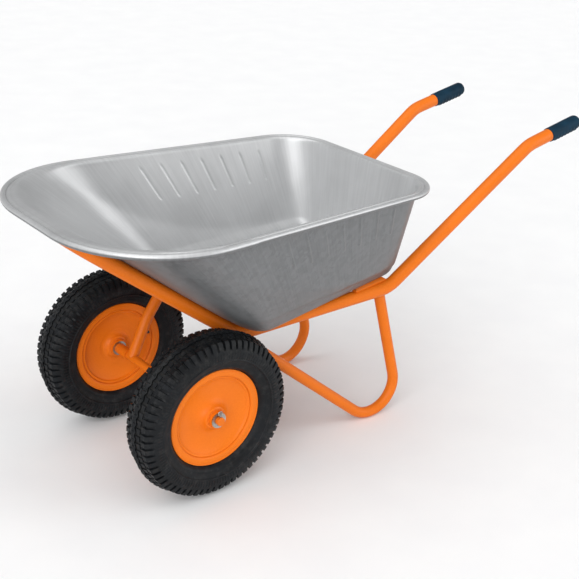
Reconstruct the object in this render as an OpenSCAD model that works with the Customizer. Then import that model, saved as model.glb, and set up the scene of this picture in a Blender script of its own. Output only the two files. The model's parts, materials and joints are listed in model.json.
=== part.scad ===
// Two-wheeled garden wheelbarrow: a pressed galvanised tray bolted on a welded tube frame.
// +X is forward, towards the wheels, +Y is left and +Z is up. The origin is on the ground,
// under the middle of the wheelbarrow. Sizes are in millimetres.

/* [Wheels] */
// Outer diameter of the tyre
tyre_d = 400; // [396:1:404]
// Width of the tyre across its sidewalls
tyre_w = 95; // [92:1:98]
// Distance between the middle planes of the two wheels
track = 422; // [420:1:440]
// Outer diameter of the rim flanges
rim_d = 236.8; // [236:0.2:238]
// Diameter of the bead seat of the rim
seat_d = 203.2; // [202:0.2:204]
// Diameter of the axle
axle_d = 20; // [19:0.5:21]
// Outer diameter of the wheel hub
hub_d = 41; // [41:0.5:44]

/* [Tray] */
// Height of the rim of the tray at its back edge
rim_back_z = 644; // [640:1:650]
// Height of the rim of the tray at its front edge
rim_front_z = 655; // [650:1:660]
// Length of the tray over its rim
tray_l = 951; // [945:1:955]
// Width of the rim at the back corners
rim_back_w = 572; // [564:2:580]
// Width that the sides of the rim spread to at the front
rim_front_w = 728; // [720:2:736]
// Radius of the rim at its back corners
rim_back_r = 132; // [126:1:140]
// Radius of the rim at its front corners
rim_front_r = 257; // [250:1:262]
// Width of the floor at its back edge
floor_back_w = 356; // [350:2:362]
// Width of the floor at its front edge
floor_front_w = 436; // [430:2:440]
// Radius of the press bend between the floor and the walls
floor_bend_r = 21; // [18:1:26]
// Thickness of the tray sheet
sheet = 1; // [0.8:0.1:1.2]

/* [Frame] */
// Outer diameter of the main frame tubes
tube_d = 34; // [33:0.5:35]
// Outer diameter of the leg and axle strut tubes
leg_d = 28; // [27:0.5:29]
// Wall of the frame tubes
tube_wall = 1.5; // [1.2:0.1:2]
// Bend radius of the main tubes
bend_r = 100; // [90:5:110]
// Radius of the foot of each leg
foot_r = 76; // [75.5:0.1:76.5]
// Thickness of the flat straps under the tray
strap_t = 5; // [4:0.5:5]
// Outer diameter of the hand grips
grip_d = 39; // [38.5:0.5:42]

/* [Hidden] */

paint = "darkorange";
steel = "silver";
rubber = [0.1, 0.1, 0.11];
FINE = 96;

// The design works in X from the axle; axle_x puts the origin under the middle of the length.
grip_tip_x = -1195;
tray_front_x = 308;
axle_x = -(grip_tip_x + tray_front_x + sheet) / 2;
axle_z = tyre_d / 2;
tray_back_x = tray_front_x - tray_l;

// ---- vectors ----
function unit(v) = v / norm(v);
function along(p, q, s) = p + (q - p) * s;
function turn(p, q, r) = acos(unit(q - p) * unit(r - q));
function setback(p, q, r, rad) = rad * tan(turn(p, q, r) / 2);

// ---- centre lines of the tubes on the left side ----
grip_end = [-1182, 212.6, 710.1];
wrist = [-1008, 212.6, 673.6];
heel = [-556, 192.3, 368.7];
toe = [-135, 134, 329.5];
nose = [262, 130, 628.5];
main_path = [grip_end, wrist, heel, toe, nose];
main_radii = [bend_r, bend_r, 0.85 * bend_r];
loop_r = 62;

leg_top = [-543, 171, 361];
leg_corner = [-665.4, 194.5, -117.56];
leg_front = [-133, 137.5, 323.8];

strut_foot = [0, 116, axle_z];
strut_knee = [-47, 124, 291];
strut_top = [-99, 132.5, 354];

// ---- the wheel's own numbers, along the axle from the wheel's middle plane, outward positive ----
wheel_y = track / 2;
hub_out = 42;
hub_in = -33;
bearing_w = 12;
bearing_d = 35;
washer_t = 2;
washer_d = 37;
axle_end = 53;
split_pin_at = 48.5;
split_pin_d = 3.2;
spacer_d = 27;
spacer_from = 131;
run = 0.05;

// ---- the tray's own numbers ----
floor_pitch = (toe[2] - heel[2]) / (heel[0] - toe[0]);
floor_rise = (tube_d / 2 + strap_t) * sqrt(1 + floor_pitch * floor_pitch);
front_slope = (nose[2] - toe[2]) / (nose[0] - toe[0]);
front_gap = 0.9;
front_rise = (tube_d / 2 + front_gap) * sqrt(1 + front_slope * front_slope);
rim_pitch = (rim_front_z - rim_back_z) / tray_l;
lip_front = 40;
lip_side = 24;
lip_back = 26;
curl_r = 6;
floor_back_x = -596.5;
floor_front_x = (floor_at(0) - front_at(0)) / (front_slope + floor_pitch);

function floor_at(x) = toe[2] + floor_rise - floor_pitch * (x - toe[0]);
function front_at(x) = toe[2] + front_rise + front_slope * (x - toe[0]);
function rim_at(x) = rim_back_z + rim_pitch * (x - tray_back_x);

module place() {
    translate([axle_x, 0, 0]) children();
}

// Everything on the right is the mirror image of the left
module side(s) {
    place() mirror([0, s < 0 ? 1 : 0, 0]) children();
}

// ---- round bars and tubes bent from straight runs ----
module from_to(p, q, d) {
    z = unit(q - p);
    helper = abs(z[1]) > 0.9 ? [1, 0, 0] : [0, 1, 0];
    x = unit(cross(helper, z));
    y = cross(z, x);
    multmatrix([[x[0], y[0], z[0], p[0]],
                [x[1], y[1], z[1], p[1]],
                [x[2], y[2], z[2], p[2]],
                [0, 0, 0, 1]])
        cylinder(d = d, h = norm(q - p), $fn = FINE);
}

module elbow(p, q, r, rad, d) {
    u = unit(q - p);
    v = unit(r - q);
    w = unit(cross(u, v));
    n = cross(w, u);
    c = q - u * setback(p, q, r, rad) + n * rad;
    multmatrix([[-n[0], u[0], w[0], c[0]],
                [-n[1], u[1], w[1], c[1]],
                [-n[2], u[2], w[2], c[2]],
                [0, 0, 0, 1]])
        rotate_extrude(angle = turn(p, q, r), $fn = FINE)
            translate([rad, 0])
                circle(d = d, $fn = FINE);
}

// Straight runs reach a little into the bends, and a bend is a hair thinner, so they join cleanly
lap = 0.3;
hair = 0.04;

function stretched(path, by) =
    let (last = len(path) - 1)
    [for (i = [0:last]) i == 0 ? path[0] + unit(path[0] - path[1]) * by
     : i == last ? path[last] + unit(path[last] - path[last - 1]) * by
     : path[i]];

// A bar of diameter d along a path, bent to one radius at each inner point
module bar(path, radii, d) {
    last = len(path) - 1;
    cuts = [for (i = [0:last]) i == 0 || i == last ? 0
            : setback(path[i - 1], path[i], path[i + 1], radii[i - 1]) - lap];
    for (i = [0:last - 1]) {
        reach = norm(path[i + 1] - path[i]);
        from_to(along(path[i], path[i + 1], cuts[i] / reach),
                along(path[i], path[i + 1], 1 - cuts[i + 1] / reach), d);
    }
    for (i = [1:last - 1])
        elbow(path[i - 1], path[i], path[i + 1], radii[i - 1], d - hair);
}

module pipe(path, radii, d) {
    difference() {
        bar(path, radii, d);
        bar(stretched(path, 1), radii, d - 2 * tube_wall);
    }
}

// ---- frame ----
// The main tube stops where the front loop begins its bend
loop_corner = nose;
loop_far = [nose[0], -nose[1], nose[2]];
loop_cut = setback(toe, loop_corner, loop_far, loop_r);
main_end = loop_corner + unit(toe - loop_corner) * loop_cut;
tube_path = [grip_end, wrist, heel, toe, main_end];

module frame_tube(s) {
    color(paint) side(s) pipe(tube_path, main_radii, tube_d);
}

module front_loop() {
    right_end = [main_end[0], -main_end[1], main_end[2]];
    color(paint) place() pipe([main_end, loop_corner, loop_far, right_end], [loop_r, loop_r], tube_d);
}

module leg(s) {
    color(paint) side(s) difference() {
        pipe([leg_top, leg_corner, leg_front], [foot_r], leg_d);
        bar(tube_path, main_radii, tube_d);
    }
}

module strut(s) {
    color(paint) side(s) difference() {
        pipe([strut_foot, strut_knee, strut_top], [120], leg_d);
        bar(tube_path, main_radii, tube_d);
        axle_bar(axle_d);
    }
}

module axle_bar(d) {
    reach = wheel_y + axle_end;
    from_to([0, -reach, axle_z], [0, reach, axle_z], d);
}

module axle() {
    color(paint) place() difference() {
        axle_bar(axle_d);
        for (s = [-1, 1])
            translate([0, s * (wheel_y + split_pin_at), axle_z])
                cylinder(d = split_pin_d + 0.4, h = 2 * axle_d, center = true, $fn = 32);
    }
}

// A short sleeve welded on the axle sets how far in the wheel can go
module spacer(s) {
    spacer_to = wheel_y + hub_in - washer_t - 0.2;
    color(paint) side(s) difference() {
        from_to([0, spacer_from, axle_z], [0, spacer_to, axle_z], spacer_d);
        axle_bar(axle_d);
    }
}

// A bent wire pin: a straight shank through the axle, and a ring at the top
module split_pin(s) {
    ring_r = 5;
    shank = axle_d + 10;
    color(steel) side(s) translate([0, wheel_y + split_pin_at, axle_z]) {
        translate([0, 0, -shank / 2])
            cylinder(d = split_pin_d, h = shank, $fn = 32);
        translate([0, 0, shank / 2 + ring_r - 0.6])
            rotate([90, 0, 0])
                rotate_extrude($fn = 64)
                    translate([ring_r, 0])
                        circle(d = 2.6, $fn = 32);
    }
}

// ---- straps and fasteners under the tray ----
strap_rear_w = 100;
strap_front_w = 40;
strap_rear_x = -503;
strap_front_x = -210;
bolt_y = 110;
bolt_d = 8;

function tube_y(x) = along(heel, toe, (x - heel[0]) / (toe[0] - heel[0]))[1];

// Places children on the strap's top face, square to the sloping floor
module on_floor(x, y, up) {
    translate([x, y, floor_at(x)])
        rotate([0, atan(floor_pitch), 0])
            translate([0, 0, up])
                children();
}

module strap(x, width) {
    half = tube_y(x) + 4;
    color(paint) place() difference() {
        on_floor(x, 0, -strap_t / 2)
            cube([width, 2 * half, strap_t - 0.02], center = true);
        for (s = [0, 1])
            mirror([0, s, 0]) bar(tube_path, main_radii, tube_d + 0.02);
        for (y = [-bolt_y, bolt_y])
            on_floor(x, y, -2 * strap_t)
                cylinder(d = bolt_d + 0.8, h = 4 * strap_t, $fn = 48);
    }
}

module each_bolt() {
    place()
        for (x = [strap_rear_x, strap_front_x])
            for (y = [-bolt_y, bolt_y])
                on_floor(x, y, 0) children();
}

// Round-headed bolts, head inside the tray
module tray_bolts() {
    head_h = 4.5;
    color(steel) each_bolt() {
        translate([0, 0, -18])
            cylinder(d = bolt_d, h = 18 + sheet + 1.8, $fn = 48);
        translate([0, 0, sheet + 1.75])
            rotate_extrude($fn = 64)
                intersection() {
                    translate([0, head_h - 13.5])
                        circle(r = 13.5, $fn = 96);
                    square([12, head_h]);
                }
    }
}

module ring(outer, inner, h) {
    difference() {
        cylinder(d = outer, h = h, $fn = 64);
        translate([0, 0, -1])
            cylinder(d = inner, h = h + 2, $fn = 64);
    }
}

module tray_washers() {
    color(steel) each_bolt() {
        translate([0, 0, sheet + 0.1])
            ring(24, bolt_d + 0.6, 1.6);
        translate([0, 0, -strap_t - 1.7])
            ring(20, bolt_d + 0.6, 1.6);
    }
}

module tray_nuts() {
    nut_h = 6.5;
    color(steel) each_bolt()
        translate([0, 0, -strap_t - 1.8 - nut_h])
            difference() {
                cylinder(d = 15, h = nut_h, $fn = 6);
                translate([0, 0, -1])
                    cylinder(d = bolt_d, h = nut_h + 2, $fn = 48);
            }
}

// ---- hand grips ----
// A moulded rubber sleeve with finger ridges and a domed closed end
grip_l = 112;
module grip(s) {
    ridges = 9;
    wall_end = 12;
    pitch = (grip_l - 34) / ridges;
    dir = unit(grip_end - wrist);
    back = grip_end - dir * (grip_l - wall_end);
    z = dir;
    y = [0, 1, 0];
    x = cross(y, z);
    color([0.12, 0.24, 0.33]) side(s)
        multmatrix([[x[0], y[0], z[0], back[0]],
                    [x[1], y[1], z[1], back[1]],
                    [x[2], y[2], z[2], back[2]],
                    [0, 0, 0, 1]])
            difference() {
                union() {
                    cylinder(d = grip_d, h = 6, $fn = 64);
                    cylinder(d = grip_d - 3, h = grip_l - 10, $fn = 64);
                    for (i = [0:ridges - 1])
                        translate([0, 0, 12 + i * pitch])
                            cylinder(d1 = grip_d - 3, d2 = grip_d, h = pitch, $fn = 64);
                    translate([0, 0, grip_l - 10])
                        rotate_extrude($fn = 64)
                            intersection() {
                                translate([0, -14])
                                    circle(r = 24, $fn = 96);
                                square([(grip_d - 3) / 2, 12]);
                            }
                }
                translate([0, 0, -1])
                    cylinder(d = tube_d, h = grip_l - wall_end + 1, $fn = FINE);
            }
}

// ---- wheels ----
// Wheel parts are turned about the axle; the section is drawn as [radius, distance outward]
module wheel_part(s) {
    side(s) translate([0, wheel_y, axle_z]) rotate([-90, 0, 0]) children();
}

module turned(points) {
    rotate_extrude($fn = FINE) polygon(points);
}

// Points of a circular arc from p to q that bulges by the height h to the left of p to q
function bulge(p, q, h, n) =
    let (half = norm(q - p) / 2,
         rad = (half * half + h * h) / (2 * h),
         dir = unit(q - p),
         nor = [-dir[1], dir[0]],
         c = (p + q) / 2 + nor * (h - rad),
         a = asin(half / rad))
    [for (i = [0:n]) c + rad * (nor * cos(a * (2 * i / n - 1)) + dir * sin(a * (2 * i / n - 1)))];

function flip(points) = [for (i = [len(points) - 1:-1:0]) [points[i][0], -points[i][1]]];

tyre_r = tyre_d / 2;
shoulder = [tyre_r - 10, tyre_w / 2 - 10.5];
flange_top = rim_d / 2;
seat_r = seat_d / 2;
sidewall_foot = [flange_top + 1.4, 33];

tyre_wall = 5.5;

// The tyre's hollow, from one bead to the other, made smaller all round by a gap
function hollow(gap) =
    let (foot = [seat_r + 14, 20 - gap],
         top = shoulder - [tyre_wall + gap, tyre_wall + gap],
         flank = bulge(foot, top, 11, 7))
    concat(flank, bulge(top, [top[0], -top[1]], 9, 8), flip(flank));

module tyre(s) {
    out = bulge(sidewall_foot, shoulder, tyre_w / 2 - 34.75, 9);
    crown = bulge(shoulder, [shoulder[0], -shoulder[1]], 10, 12);
    bead = [[seat_r + 0.1, 17], [seat_r + 0.1, 28.2], [112, 28.2], [flange_top + 0.6, 29.2]];
    half = concat(bead, out);
    inner = hollow(0);
    color(rubber) wheel_part(s)
        turned(concat(half, crown, flip(half), [for (i = [len(inner) - 1:-1:0]) inner[i]]));
}

// The air tube, a thin ring that fills the tyre's hollow
module inner_tube(s) {
    gap = 0.5;
    gauge = 2;
    foot = [[seat_r + 2.6, -16], [seat_r + 2.6, 16]];
    inner_foot = [foot[0] + [gauge, gauge], foot[1] + [gauge, -gauge]];
    color(rubber) wheel_part(s) difference() {
        turned(concat(foot, hollow(gap)));
        turned(concat(inner_foot, hollow(gap + gauge)));
    }
}

// Rolled steel rim: a bead seat between two flanges, each with a rolled lip
module rim(s) {
    skin = 2;
    foot = 28.5;
    lip = 31.6;
    color(paint) difference() {
        wheel_part(s)
            turned([[seat_r - skin, -foot - skin], [flange_top - 1, -lip], [flange_top, -lip + 0.9],
                    [flange_top, -lip + 2.1], [seat_r, -foot], [seat_r, foot],
                    [flange_top, lip - 2.1], [flange_top, lip - 0.9], [flange_top - 1, lip],
                    [seat_r - skin, foot + skin]]);
        at_valve(s) from_to([seat_r - 10, 0, valve_deep], [seat_r + 5, 0, valve_deep], valve_d + 0.6);
    }
}

// Pressed wheel disc: an edge flange inside the rim, a step ring, a dish and a cone up to the hub
module disc(s, face) {
    skin = 2;
    edge = seat_r - skin - 0.05;
    hub_r = hub_d / 2 + 0.02;
    hub_height = face > 0 ? 33 : 26;
    dish = bulge([88, 20.5], [46, 14.5], 2.5, 6);
    cone = bulge([46, 14.5], [hub_r + 6, hub_height - 3], 3.5, 5);
    top = concat([[edge, 14], [edge, 25], [edge - 2, 27], [edge - 6, 27], [91, 22]],
                 dish, [for (i = [1:5]) cone[i]], [[hub_r, hub_height]]);
    under = [for (i = [len(top) - 1:-1:0]) i == 0 ? [edge - skin, 14]
             : i == 1 ? [edge - skin, 24.5]
             : i == len(top) - 1 ? [hub_r, hub_height - skin]
             : [top[i][0], top[i][1] - skin]];
    wheel_part(s)
        mirror([0, 0, face > 0 ? 0 : 1])
            turned(concat(top, under));
}

module disc_plain(s) {
    color(paint) disc(s, 1);
}

module disc_with_valve_hole(s) {
    color(paint) difference() {
        disc(s, -1);
        at_valve(s) from_to([valve_r, 0, -40], [valve_r, 0, 0], valve_d + 2.5);
    }
}

module hub(s) {
    color(paint) wheel_part(s) translate([0, 0, hub_in])
        difference() {
            cylinder(d = hub_d, h = hub_out - hub_in, $fn = FINE);
            translate([0, 0, -1])
                cylinder(d = axle_d + 6, h = hub_out - hub_in + 2, $fn = FINE);
            translate([0, 0, -1])
                cylinder(d = bearing_d, h = bearing_w + 1, $fn = FINE);
            translate([0, 0, hub_out - hub_in - bearing_w])
                cylinder(d = bearing_d, h = bearing_w + 1, $fn = FINE);
        }
}

// Shielded ball bearing, drawn as one ring with a recess on each face
module bearing(s, at) {
    recess = 0.8;
    r_in = axle_d / 2 + run;
    r_out = bearing_d / 2 - 0.01;
    color(steel) wheel_part(s) translate([0, 0, at])
        turned([[r_in, 0], [r_in + 2.6, 0], [r_in + 2.6, recess], [r_out - 2.6, recess],
                [r_out - 2.6, 0], [r_out, 0], [r_out, bearing_w], [r_out - 2.6, bearing_w],
                [r_out - 2.6, bearing_w - recess], [r_in + 2.6, bearing_w - recess],
                [r_in + 2.6, bearing_w], [r_in, bearing_w]]);
}

module washer(s, at) {
    color(steel) wheel_part(s) translate([0, 0, at])
        ring(washer_d, axle_d + 0.1, washer_t);
}

// Tyre valve: a rubber stem that leaves the rim, bends and comes out through the inner disc
valve_r = 84;
valve_turn = -163;
valve_d = 8.5;
valve_deep = -9;
valve_path = [[seat_r + 2.2, 0, valve_deep], [valve_r, 0, valve_deep], [valve_r, 0, -31]];

module at_valve(s) {
    wheel_part(s) rotate([0, 0, valve_turn]) children();
}

module valve(s) {
    color(rubber) at_valve(s) bar(valve_path, [8], valve_d);
}

module valve_cap(s) {
    color("black") at_valve(s)
        translate([valve_r, 0, -40])
            cylinder(d = 7.5, h = 9, $fn = 48);
}

// ---- tray ----
// A ring of points round the tray: two corners at the back and two at the front, all rounded.
// The back edge is at x0 with half width y0, the front edge at x1 with half width y1.
back_steps = 8;
front_steps = 12;

function corner(p, q, r, rad, n) =
    let (u = unit(q - p),
         v = unit(r - q),
         c = q - u * setback(p, q, r, rad) + [u[1], -u[0]] * rad,
         a0 = atan2(-u[0], u[1]) + 180,
         t = turn(p, q, r))
    [for (i = [0:n]) c + rad * [cos(a0 - t * i / n), sin(a0 - t * i / n)]];

function outline(x0, y0, r0, x1, y1, r1) =
    let (a = [x0, -y0], b = [x0, y0], c = [x1, y1], d = [x1, -y1])
    concat(corner(a, b, c, r0, back_steps), corner(b, c, d, r1, front_steps),
           corner(c, d, a, r1, front_steps), corner(d, a, b, r0, back_steps));

// The same outline grown outward by g and lifted to a sloping plane
function rim_ring(g, up) = [for (p = outline(tray_back_x - g, rim_back_w / 2 + g, rim_back_r + g,
                                             tray_front_x + g, rim_front_w / 2 + g, rim_front_r + g))
                            [p[0], p[1], rim_at(p[0]) + up]];

wall_back_r = rim_back_r - lip_side;
wall_front_r = rim_front_r - lip_side;
floor_back_r = 42;
floor_front_r = 46;
// The line where the walls would meet the lip, and the line where they would meet the floor
function top_ring(g) =
    let (x0 = tray_back_x + lip_back, x1 = tray_front_x - lip_front,
         w0 = rim_back_w / 2 - lip_side, w1 = rim_front_w / 2 - lip_side)
    [for (p = outline(x0 - g, w0 + g, wall_back_r + g, x1 + g, w1 + g, wall_front_r + g))
     [p[0], p[1], rim_at(p[0])]];

function base_ring(g) =
    [for (p = outline(floor_back_x - g, floor_back_w / 2 + g, floor_back_r + g,
                      floor_front_x + g, floor_front_w / 2 + g, floor_front_r + g))
     [p[0], p[1], floor_at(p[0])]];

function mix(a, b, t) = [for (i = [0:len(a) - 1]) a[i] * (1 - t) + b[i] * t];
function blend3(a, b, c, t) = mix(mix(a, b, t), mix(b, c, t), t);
function lift(a, up) = [for (p = a) p + [0, 0, up]];

// A shallow panel pressed up in the middle of the floor, between the straps
panel_up = 1;
function panel_ring(g, up) =
    [for (p = outline(-480 - g, 140 + g, 20 + g, -248 + g, 140 + g, 20 + g))
     [p[0], p[1], floor_at(p[0]) + up]];

// The tray is drawn with its floor level, and then tilted, so that the floor is one true plane
tilt = atan(floor_pitch);
function level(p) =
    let (z = p[2] - floor_at(0))
    [p[0] * cos(tilt) - z * sin(tilt), p[1], p[0] * sin(tilt) + z * cos(tilt)];

wall_share = 0.142;
bend_steps = 5;
// The rings of one face of the sheet, from the floor to the lip; g grows it, up lifts it
function face_rings(g, up) =
    let (base = lift(base_ring(g), up),
         flat = lift(base_ring(g - 0.78 * floor_bend_r), up),
         top = lift(top_ring(g), up),
         wall = mix(base, top, wall_share),
         neck = mix(base, top, 0.965),
         shelf = lift(top_ring(g + 9), up))
    concat([panel_ring(g, panel_up + up), panel_ring(g + 3, up)],
           [for (i = [0:bend_steps]) blend3(flat, base, wall, i / bend_steps)],
           [for (i = [0:2]) blend3(neck, top, shelf, i / 2)]);

// The lip rolls down round the rim wire
curl_steps = 7;
function curl_rings(rad) =
    [for (i = [0:curl_steps])
        let (a = 90 - 270 * i / curl_steps)
        rim_ring(-curl_r + rad * cos(a), -curl_r + rad * sin(a))];

module tray() {
    outer = face_rings(0, 0);
    inner = face_rings(-sheet, sheet);
    roll_out = curl_rings(curl_r + sheet);
    roll_in = curl_rings(curl_r);
    rings = concat(inner, roll_out, [for (i = [curl_steps:-1:0]) roll_in[i]],
                   [for (i = [len(outer) - 1:-1:0]) outer[i]]);
    n = len(rings[0]);
    rows = len(rings);
    points = [for (r = rings) each r];
    floor_in = [for (j = [0:n - 1]) j];
    floor_out = [for (j = [n - 1:-1:0]) (rows - 1) * n + j];
    skin = [for (i = [0:rows - 2]) for (j = [0:n - 1])
            each let (k = (j + 1) % n)
            [[i * n + j, (i + 1) * n + j, (i + 1) * n + k],
             [i * n + j, (i + 1) * n + k, i * n + k]]];
    color(steel) place() difference() {
        translate([0, 0, floor_at(0)])
            rotate([0, tilt, 0])
                polyhedron([for (p = points) level(p)], concat([floor_in], [floor_out], skin),
                           convexity = 8);
        for (x = [strap_rear_x, strap_front_x])
            for (y = [-bolt_y, bolt_y])
                on_floor(x, y, -2)
                    cylinder(d = bolt_d + 0.8, h = 6, $fn = 48);
    }
}

// The wire in the rolled edge, a closed loop of straight runs and corner bends
module rim_wire() {
    wire_d = 7;
    in = curl_r;
    x0 = tray_back_x + in;
    x1 = tray_front_x - in;
    y0 = rim_back_w / 2 - in;
    y1 = rim_front_w / 2 - in;
    quad = [for (p = [[x0, -y0], [x0, y0], [x1, y1], [x1, -y1]])
            [p[0], p[1], rim_at(p[0]) - curl_r]];
    radii = [rim_back_r - in, rim_back_r - in, rim_front_r - in, rim_front_r - in];
    cuts = [for (i = [0:3])
            setback(quad[(i + 3) % 4], quad[i], quad[(i + 1) % 4], radii[i]) - lap];
    color(steel) place()
        for (i = [0:3]) {
            k = (i + 1) % 4;
            reach = norm(quad[k] - quad[i]);
            from_to(along(quad[i], quad[k], cuts[i] / reach),
                    along(quad[i], quad[k], 1 - cuts[k] / reach), wire_d);
            elbow(quad[(i + 3) % 4], quad[i], quad[k], radii[i], wire_d - hair);
        }
}

tray();
rim_wire();
frame_tube(1);  // frame_tube_left
frame_tube(-1);  // frame_tube_right
front_loop();
strap(strap_rear_x, strap_rear_w);  // strap_rear
strap(strap_front_x, strap_front_w);  // strap_front
tray_bolts();
tray_washers();
tray_nuts();
leg(1);  // leg_left
leg(-1);  // leg_right
strut(1);  // strut_left
strut(-1);  // strut_right
axle();
spacer(1);  // spacer_left
spacer(-1);  // spacer_right
grip(1);  // grip_left
grip(-1);  // grip_right
split_pin(1);  // split_pin_left
split_pin(-1);  // split_pin_right
tyre(1);  // tyre_left
tyre(-1);  // tyre_right
inner_tube(1);  // inner_tube_left
inner_tube(-1);  // inner_tube_right
rim(1);  // rim_left
rim(-1);  // rim_right
disc_plain(1);  // disc_outer_left
disc_plain(-1);  // disc_outer_right
disc_with_valve_hole(1);  // disc_inner_left
disc_with_valve_hole(-1);  // disc_inner_right
hub(1);  // hub_left
hub(-1);  // hub_right
bearing(1, hub_out - bearing_w);  // bearing_outer_left
bearing(-1, hub_out - bearing_w);  // bearing_outer_right
bearing(1, hub_in);  // bearing_inner_left
bearing(-1, hub_in);  // bearing_inner_right
washer(1, hub_out + 0.2);  // washer_outer_left
washer(-1, hub_out + 0.2);  // washer_outer_right
washer(1, hub_in - washer_t - 0.1);  // washer_inner_left
washer(-1, hub_in - washer_t - 0.1);  // washer_inner_right
valve(1);  // valve_left
valve(-1);  // valve_right
valve_cap(1);  // valve_cap_left
valve_cap(-1);  // valve_cap_right
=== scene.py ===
import json
import math

import bmesh
import bpy
import numpy as np
from mathutils import Matrix, Vector
from mathutils.bvhtree import BVHTree


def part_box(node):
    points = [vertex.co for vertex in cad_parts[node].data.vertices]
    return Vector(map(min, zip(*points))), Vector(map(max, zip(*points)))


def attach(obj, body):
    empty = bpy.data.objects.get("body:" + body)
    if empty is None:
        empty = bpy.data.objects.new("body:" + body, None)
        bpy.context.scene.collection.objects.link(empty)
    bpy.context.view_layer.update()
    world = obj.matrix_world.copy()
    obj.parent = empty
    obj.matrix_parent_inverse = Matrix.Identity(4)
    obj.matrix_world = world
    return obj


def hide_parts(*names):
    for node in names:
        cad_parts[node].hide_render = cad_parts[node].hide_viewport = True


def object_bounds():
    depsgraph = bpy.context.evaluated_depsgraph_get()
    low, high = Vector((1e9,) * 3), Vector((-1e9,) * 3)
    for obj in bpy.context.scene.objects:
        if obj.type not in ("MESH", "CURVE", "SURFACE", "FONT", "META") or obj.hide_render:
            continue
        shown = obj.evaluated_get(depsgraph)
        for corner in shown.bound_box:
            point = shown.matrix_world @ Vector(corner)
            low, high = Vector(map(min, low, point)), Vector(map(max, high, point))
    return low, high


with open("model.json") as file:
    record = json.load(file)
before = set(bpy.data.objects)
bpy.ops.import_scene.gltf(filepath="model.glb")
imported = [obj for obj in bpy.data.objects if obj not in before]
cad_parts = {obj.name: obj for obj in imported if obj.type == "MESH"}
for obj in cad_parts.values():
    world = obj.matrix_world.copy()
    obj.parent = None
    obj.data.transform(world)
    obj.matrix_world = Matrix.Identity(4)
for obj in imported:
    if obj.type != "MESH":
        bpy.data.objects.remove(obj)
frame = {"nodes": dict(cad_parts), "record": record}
cad_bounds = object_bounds()

# Lengths are in metres. X runs forward to the wheels, Y to the left and Z up.
MM = 0.001
SIDES = {"left": 1, "right": -1}
tyre_low, tyre_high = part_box("tyre_left")
AXLE = Vector(((tyre_low.x + tyre_high.x) / 2, 0, (tyre_low.z + tyre_high.z) / 2))
WHEEL_Y = (tyre_low.y + tyre_high.y) / 2
TYRE_R = (tyre_high.z - tyre_low.z) / 2

# Centre lines of the left tubes, from the axle's X and the ground
GRIP_END = Vector((-1.182, 0.2126, 0.7101))
WRIST = Vector((-1.008, 0.2126, 0.6736))
LEG_TOP = Vector((-0.543, 0.171, 0.361))
LEG_CORNER = Vector((-0.6654, 0.1945, -0.11756))
LEG_FRONT = Vector((-0.133, 0.1375, 0.3238))
STRUT_KNEE = Vector((-0.047, 0.124, 0.291))
STRUT_TOP = Vector((-0.099, 0.1325, 0.354))
TUBE_R = 0.017
LEG_R = 0.014


# ---- camera, light and floor ----
def make_camera():
    azimuth, elevation, roll = math.radians(140.54), math.radians(23.63), math.radians(2.56)
    back = Vector((math.sin(azimuth) * math.cos(elevation),
                   -math.cos(azimuth) * math.cos(elevation),
                   math.sin(elevation)))
    right = Vector((0, 0, 1)).cross(back).normalized()
    up = back.cross(right)
    x = math.cos(roll) * right + math.sin(roll) * up
    y = math.cos(roll) * up - math.sin(roll) * right
    place = AXLE + Vector((1.2659, 2.0196, 1.2744))
    data = bpy.data.cameras.new("camera")
    data.lens = 69.54
    data.sensor_width = 36
    camera = bpy.data.objects.new("camera", data)
    camera.matrix_world = Matrix((
        (x.x, y.x, back.x, place.x),
        (x.y, y.y, back.y, place.y),
        (x.z, y.z, back.z, place.z),
        (0, 0, 0, 1)))
    bpy.context.scene.collection.objects.link(camera)
    bpy.context.scene.camera = camera


def sun(name, azimuth, elevation, spread_angle, strength):
    """A broad, soft light that comes from the given direction."""
    data = bpy.data.lights.new(name, "SUN")
    data.energy = strength
    data.angle = math.radians(spread_angle)
    light = bpy.data.objects.new(name, data)
    turn, up = math.radians(azimuth), math.radians(elevation)
    away = Vector((math.cos(turn) * math.cos(up), math.sin(turn) * math.cos(up), math.sin(up)))
    light.rotation_euler = away.to_track_quat("Z", "Y").to_euler()
    bpy.context.scene.collection.objects.link(light)


def make_studio():
    sun("key", 34, 27, 42, 1.05)
    sun("low_fill", 48, 9, 30, 0.62)
    sun("top", 14, 64, 84, 1.8)
    sun("rear_side", 138, 17, 44, 0.95)
    world = bpy.data.worlds.new("studio")
    bpy.context.scene.world = world
    world.use_nodes = True
    tree = world.node_tree
    sky = tree.nodes["Background"]
    sky.inputs["Strength"].default_value = 0.47
    where = add(tree, "ShaderNodeTexCoord").outputs["Generated"]
    height = add(tree, "ShaderNodeSeparateXYZ", {"Vector": where})
    fade = ramp(tree, height.outputs["Z"], [(0.0, (1.0, 1.0, 1.0)), (0.25, (0.95, 0.96, 0.97)),
                                            (0.5, (0.45, 0.46, 0.47)), (0.9, (0.9, 0.9, 0.9))])
    tree.links.new(fade, sky.inputs["Color"])
    bpy.context.scene.view_settings.view_transform = "Standard"


def make_floor():
    half = 60.0
    mesh = bpy.data.meshes.new("floor")
    mesh.from_pydata([(-half, -half, 0), (half, -half, 0), (half, half, 0), (-half, half, 0)], [],
                     [(0, 1, 2, 3)])
    floor = bpy.data.objects.new("floor", mesh)
    floor.location.z = min(cad_bounds[0][2], 0) - 0.0005
    bpy.context.scene.collection.objects.link(floor)
    m, tree, shader = new_material("floor_paint", roughness=0.85)
    spots = noise(tree, coordinates(tree), 6, detail=3)
    tree.links.new(ramp(tree, spots, [(0.3, (0.865, 0.865, 0.87)), (0.7, (0.89, 0.89, 0.89))]),
                   shader.inputs["Base Color"])
    mesh.materials.append(m)


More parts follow.
